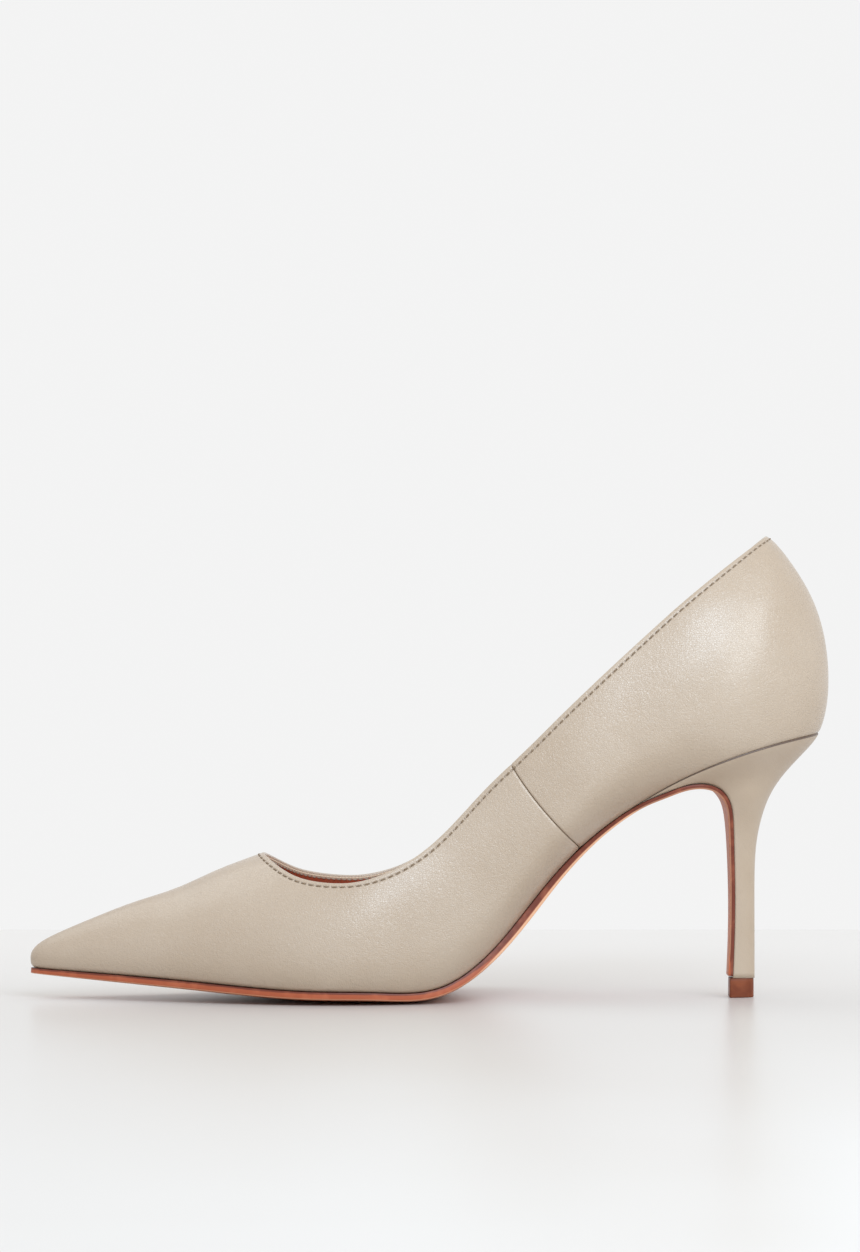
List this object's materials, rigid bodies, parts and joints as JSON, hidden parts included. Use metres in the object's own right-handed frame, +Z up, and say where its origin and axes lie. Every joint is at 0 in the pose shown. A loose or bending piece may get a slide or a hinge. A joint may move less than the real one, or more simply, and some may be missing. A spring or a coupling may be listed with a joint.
{
  "type": "high heel pump",
  "caption": "Pointed-toe stiletto court shoe in smooth leather with a covered slim heel, thin painted-edge sole and low-cut topline.",
  "frame": {"origin": "on the floor, under the middle of the shoe's bounding box", "axes": "+Z up; +X from the toe towards the heel, along the shoe; +Y towards the outer (lateral) side of this right shoe, so the inner side faces -Y"},
  "size_m": [0.2404, 0.0778, 0.1392],
  "materials": {
    "upper_leather": "smooth fine-grained satin leather, taupe",
    "lining_leather": "matt lining leather, salmon brown",
    "stiffener": "matt fibre stiffener",
    "tape": "woven reinforcing tape",
    "thread": "waxed thread",
    "sock": "matt sock leather",
    "foam": "soft foam",
    "board": "cellulose insole board",
    "steel": "plain steel",
    "filler": "granular bottom filler",
    "sole": "painted sole edge and flesh-coloured sole face",
    "heel_plastic": "moulded heel core",
    "lift": "hard top-lift plastic"
  },
  "bodies": {
    "root": {"bottom_filler": "filler", "forefoot_cushion": "foam", "heel_block": "heel_plastic", "heel_counter": "stiffener", "heel_cover": "upper_leather", "heel_cushion": "foam", "heel_nails": "steel", "heel_quarter": "upper_leather", "heel_screw": "steel", "heel_tube": "steel", "insole_board": "board", "outsole": "sole", "quarter_lining": "lining_leather", "shank_board": "board", "shank_rivets": "steel", "sock_lining": "sock", "steel_shank": "steel", "toe_puff": "stiffener", "top_lift": "lift", "top_lift_pin": "steel", "topline_stitching": "thread", "topline_tape": "tape", "vamp": "upper_leather", "vamp_interlining": "stiffener", "vamp_lining": "lining_leather"}
  },
  "joints": []
}
